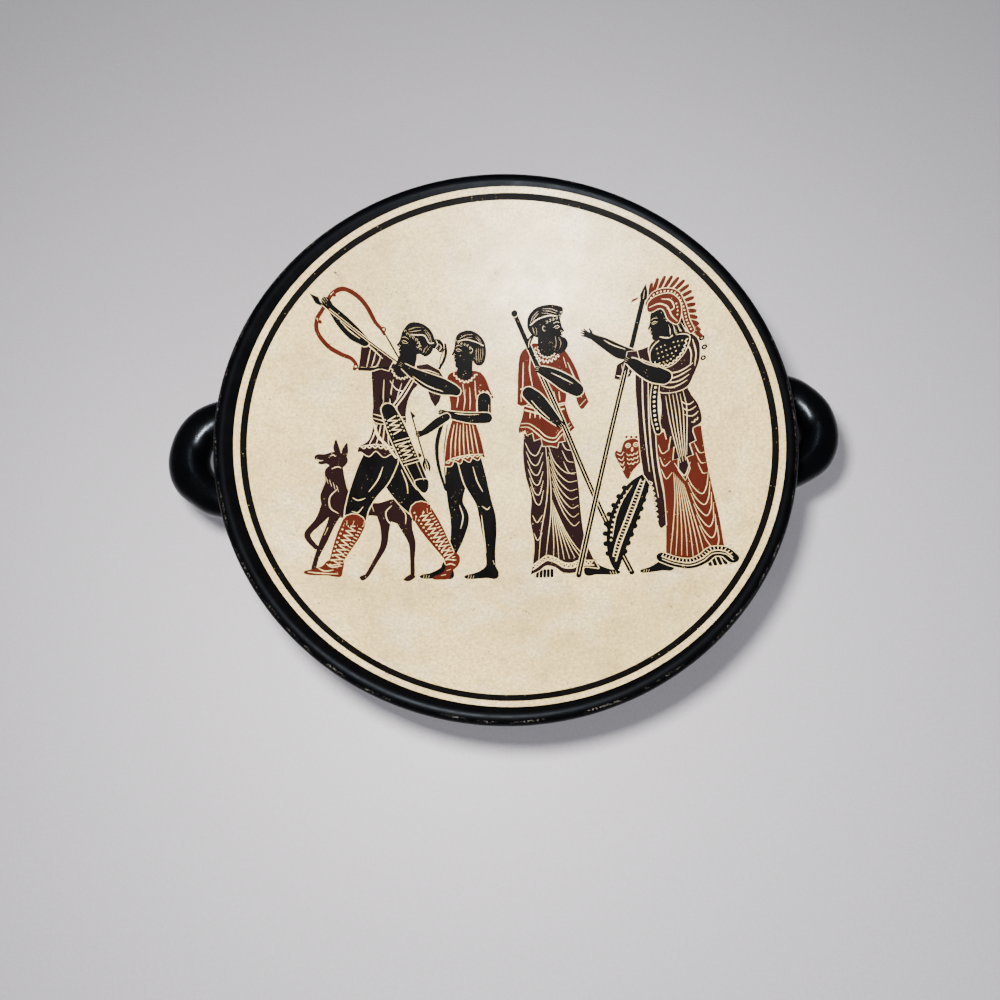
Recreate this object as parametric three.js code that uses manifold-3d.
// A small fired-clay kylix, a Greek stemmed drinking cup, made as a souvenir copy.
//
// Bowl, stem and foot are thrown as one body, and the two loop handles are rolled coils of
// clay luted on under the lip before firing, so the whole cup is one solid.
//
// Millimetres, +Z up. The origin is the middle of the foot's underside, the handles lie
// along X, and the cup's picture stands upright when it is looked at from -Y.

import * as THREE from 'three';
import { mergeVertices } from 'three/addons/utils/BufferGeometryUtils.js';
import Module from 'manifold-3d';

// ---------------------------------------------------------------- driving dimensions

const RIM_RADIUS = 75;          // outermost point of the lip
const TOTAL_HEIGHT = 56;        // table to the crest of the lip
const LIP_RADIUS = 2.05;        // the lip is a half-round roll of this radius
const BOWL_DEPTH = 27.3;        // inside the bowl, from where the lip ends to its floor
const BOWL_POWER = 2.2;         // 2 is a parabola, and more makes the floor flatter
const LIP_SLOPE = THREE.MathUtils.degToRad(40);  // of the bowl's wall, where it meets the lip

const WALL_AT_LIP = 4.4;        // wall thickness, measured square to the inner face
const WALL_AT_FLOOR = 6.6;
const BOWL_FOOT_RADIUS = 21;    // where the bowl's outer face turns into the stem

const STEM_RADIUS = 11.5;
const STEM_HEIGHT = 14.5;       // of the stem's narrowest place above the table
const STEM_EASE = 6;            // how softly the stem runs out into foot and bowl
const FOOT_RADIUS = 32;
const FOOT_SHOULDER = 20;       // radius to which the foot's upper side stays nearly level
const FOOT_SHOULDER_HEIGHT = 6.75;
const FOOT_EDGE = 5;            // thickness of the foot's rim
const FOOT_RING = 7;            // width of the flat ring that the cup stands on
const FOOT_RING_EDGE = 1;       // how far that ring's outer corner stands in from the rim
const RECESS_DEPTH = 9;         // of the hollow under the foot
const RECESS_FULLNESS = 0.88;   // 0.5 is a cone, and 1 is a box

const HANDLE_REACH = 92;        // from the cup's axis to the outside of a handle
const HANDLE_THICKNESS = 10.8;  // of the coil, seen from above, at the bend
const COIL_FLATNESS = 0.92;     // the coil's height over its width
const HANDLE_BEND = 12;         // radius of the bend, along the middle of the coil
const HANDLE_HEIGHT = 40;       // of the coil's middle above the table, at the bend
const LEG_DISTANCE = 64;        // along X, to where a leg starts to turn up into the bowl's wall
const LEG_DROP = 2.4;           // of the coil's middle there, below the bend
const ROOT_DISTANCE = 50.5;     // along X, to where a coil's end is buried in the wall
const ROOT_HEIGHT = 44;
const ROOT_SPREAD = 16.6;       // sideways, from the middle of the handle to its root
const ROOT_FLARE = 1.4;         // how much wider the clay is smeared out at a root
const FLARE_SHARE = 0.26;       // of the coil's length, from its end to where the flare is gone
const WAIST_SHARE = 0.29;       // to where fingers pinched the coil a little, beside the bend
const WAIST_LENGTH = 0.06;
const WAIST_DEPTH = 0.07;
const HANDLES = [               // made by hand, so each sits a little to one side
  { side: 1, shift: 0.6 },
  { side: -1, shift: -2.4 },
];

const LATHE_SEGMENTS = 76;
const HANDLE_SIDES = 14;
const HANDLE_STEPS = 32;
const JOIN_TOLERANCE = 0.02;    // slivers along the handles' seams are closed up below this

// ---------------------------------------------------------------- the turned body

const lipCentre = new THREE.Vector2(RIM_RADIUS - LIP_RADIUS, TOTAL_HEIGHT - LIP_RADIUS);
const innerEdge = new THREE.Vector2(                // where the roll of the lip ends
  lipCentre.x - LIP_RADIUS * Math.sin(LIP_SLOPE),
  lipCentre.y + LIP_RADIUS * Math.cos(LIP_SLOPE),
);

/** Height and slope of the bowl's inner face at a distance from the axis. */
function innerFace(radius) {
  const share = radius / innerEdge.x;
  return {
    height: innerEdge.y - BOWL_DEPTH * (1 - share ** BOWL_POWER),
    slope: Math.atan(BOWL_DEPTH * BOWL_POWER / innerEdge.x * share ** (BOWL_POWER - 1)),
  };
}

/** A point of the bowl's outer face: the inner one, moved through the wall. */
function outerFace(radius) {
  const { height, slope } = innerFace(radius);
  const wall = THREE.MathUtils.lerp(WALL_AT_FLOOR, WALL_AT_LIP, radius / innerEdge.x);
  return new THREE.Vector2(radius + wall * Math.sin(slope), height - wall * Math.cos(slope));
}

function innerPoints(count, sink = 0) {
  const points = [];
  for (let i = 0; i <= count; i++) {
    const radius = innerEdge.x * (1 - i / count);
    points.push(new THREE.Vector2(radius, innerFace(radius).height - sink));
  }
  return points;
}

function outerPoints(count) {
  const points = [];
  const last = innerEdge.x - LIP_RADIUS;
  for (let i = 0; i <= count; i++) {
    points.push(outerFace(THREE.MathUtils.lerp(BOWL_FOOT_RADIUS, last, i / count)));
  }
  return points;
}

/** The half-round lip, from the outer face over its crest to the inner face. */
function lipPoints(count) {
  const roll = new THREE.Path();
  const underside = THREE.MathUtils.degToRad(-35);
  roll.absarc(
    lipCentre.x, lipCentre.y, LIP_RADIUS,
    underside, Math.PI / 2 + LIP_SLOPE, false,
  );
  return roll.getPoints(count);
}

/** Underside, foot and stem, from the axis out and up to the bowl's outer face. */
function footPoints() {
  const bowl = outerFace(BOWL_FOOT_RADIUS);
  const leave = outerFace(BOWL_FOOT_RADIUS + 1).sub(bowl).normalize();
  const recessEdge = FOOT_RADIUS - FOOT_RING;
  const edgeRadius = FOOT_EDGE / 2;
  const path = new THREE.Path();
  path.moveTo(0, RECESS_DEPTH);
  path.quadraticCurveTo(
    recessEdge * RECESS_FULLNESS, RECESS_DEPTH * RECESS_FULLNESS,
    recessEdge, 0,
  );
  path.lineTo(FOOT_RADIUS - FOOT_RING_EDGE, 0);
  path.absarc(
    FOOT_RADIUS - edgeRadius, edgeRadius, edgeRadius,
    THREE.MathUtils.degToRad(-60), THREE.MathUtils.degToRad(80), false,
  );
  path.bezierCurveTo(
    FOOT_SHOULDER, FOOT_SHOULDER_HEIGHT,
    STEM_RADIUS, STEM_HEIGHT - STEM_EASE,
    STEM_RADIUS, STEM_HEIGHT,
  );
  path.bezierCurveTo(
    STEM_RADIUS, STEM_HEIGHT + STEM_EASE * 0.7,
    bowl.x - leave.x * STEM_EASE, bowl.y - leave.y * STEM_EASE,
    bowl.x, bowl.y,
  );
  return path.getPoints(4);
}

/** Drops points that lie on top of the one before them. */
function distinct(points) {
  return points.filter((point, i) => i === 0 || point.distanceTo(points[i - 1]) > 0.05);
}

/** Turns a profile of (radius, height) points about the cup's upright axis. */
function turn(points) {
  return new THREE.LatheGeometry(distinct(points), LATHE_SEGMENTS).rotateX(Math.PI / 2);
}

function bodyGeometry() {
  return turn([...footPoints(), ...outerPoints(8), ...lipPoints(4), ...innerPoints(11)]);
}

/** What fills the bowl, sunk into its wall, to trim the handles' buried ends. */
function bowlPlug() {
  const inside = innerPoints(10, WALL_AT_LIP / 2).reverse();
  const top = TOTAL_HEIGHT + ROOT_HEIGHT;
  return turn([...inside, new THREE.Vector2(innerEdge.x, top), new THREE.Vector2(0, top)]);
}

// ---------------------------------------------------------------- the handles

/** The middle line of a handle on +X: a leg out of the wall, the bend, and a leg back. */
function handleLine() {
  const centre = HANDLE_REACH - HANDLE_THICKNESS / 2 - HANDLE_BEND;
  const legHeight = HANDLE_HEIGHT - LEG_DROP;
  const leg = (sign) => [
    new THREE.Vector3(ROOT_DISTANCE, sign * ROOT_SPREAD, ROOT_HEIGHT),
    new THREE.Vector3(
      THREE.MathUtils.lerp(ROOT_DISTANCE, LEG_DISTANCE, 0.5),
      sign * (ROOT_SPREAD - 1),
      THREE.MathUtils.lerp(ROOT_HEIGHT, legHeight, 0.8),
    ),
    new THREE.Vector3(LEG_DISTANCE, sign * (HANDLE_BEND + 1.6), legHeight),
  ];
  const bend = [];
  for (let angle = -80; angle <= 80; angle += 20) {
    const turned = THREE.MathUtils.degToRad(angle);
    bend.push(new THREE.Vector3(
      centre + HANDLE_BEND * Math.cos(turned), HANDLE_BEND * Math.sin(turned), HANDLE_HEIGHT,
    ));
  }
  return new THREE.CatmullRomCurve3([...leg(-1), ...bend, ...leg(1).reverse()]);
}

/** Half the coil's width at a share of its length: smeared out at its two roots. */
function coilWidth(share) {
  const fromRoot = Math.min(share, 1 - share);
  const flare = Math.max(0, 1 - fromRoot / FLARE_SHARE) ** 1.5 * (ROOT_FLARE - 1);
  const waist = WAIST_DEPTH * Math.exp(-(((fromRoot - WAIST_SHARE) / WAIST_LENGTH) ** 2));
  return HANDLE_THICKNESS / 2 * (1 + flare - waist);
}

function handleGeometry({ side, shift }) {
  const line = handleLine();
  const tube = new THREE.CylinderGeometry(1, 1, 1, HANDLE_SIDES, HANDLE_STEPS);
  const vertices = tube.getAttribute('position');
  const up = new THREE.Vector3(0, 0, 1);
  for (let i = 0; i < vertices.count; i++) {
    const share = vertices.getY(i) + 0.5;
    const tangent = line.getTangentAt(share);
    const across = new THREE.Vector3().crossVectors(up, tangent).normalize();
    const over = new THREE.Vector3().crossVectors(across, tangent);
    const width = coilWidth(share);
    const point = line.getPointAt(share)
      .addScaledVector(across, vertices.getX(i) * width)
      .addScaledVector(over, vertices.getZ(i) * width * COIL_FLATNESS);
    vertices.setXYZ(i, point.x, point.y + side * shift, point.z);
  }
  if (side < 0) tube.rotateZ(Math.PI);
  return tube;
}

// ---------------------------------------------------------------- joining and placing

const manifold = await Module();
manifold.setup();

function toSolid(geometry) {
  const bare = geometry.clone();
  bare.deleteAttribute('normal');
  bare.deleteAttribute('uv');
  const merged = mergeVertices(bare, 1e-4);
  return new manifold.Manifold(new manifold.Mesh({
    numProp: 3,
    vertProperties: new Float32Array(merged.getAttribute('position').array),
    triVerts: new Uint32Array(merged.getIndex().array),
  }));
}

function toGeometry(solid) {
  const mesh = solid.getMesh();
  const geometry = new THREE.BufferGeometry();
  geometry.setAttribute('position', new THREE.BufferAttribute(mesh.vertProperties, 3));
  geometry.setIndex(new THREE.BufferAttribute(mesh.triVerts, 1));
  geometry.computeVertexNormals();
  return geometry;
}

function kylixGeometry() {
  const plug = toSolid(bowlPlug());
  let cup = toSolid(bodyGeometry());
  for (const handle of HANDLES) {
    cup = cup.add(toSolid(handleGeometry(handle)).subtract(plug));
  }
  return toGeometry(cup.simplify(JOIN_TOLERANCE));
}

// Satin black slip, as the fired surface is outside and on the lip.
const blackSlip = new THREE.MeshStandardMaterial({
  color: 0x131317,
  roughness: 0.38,
  metalness: 0,
});

const kylix = new THREE.Mesh(kylixGeometry(), blackSlip);
kylix.name = 'kylix';

const group = new THREE.Group();
group.add(kylix);

export default group;
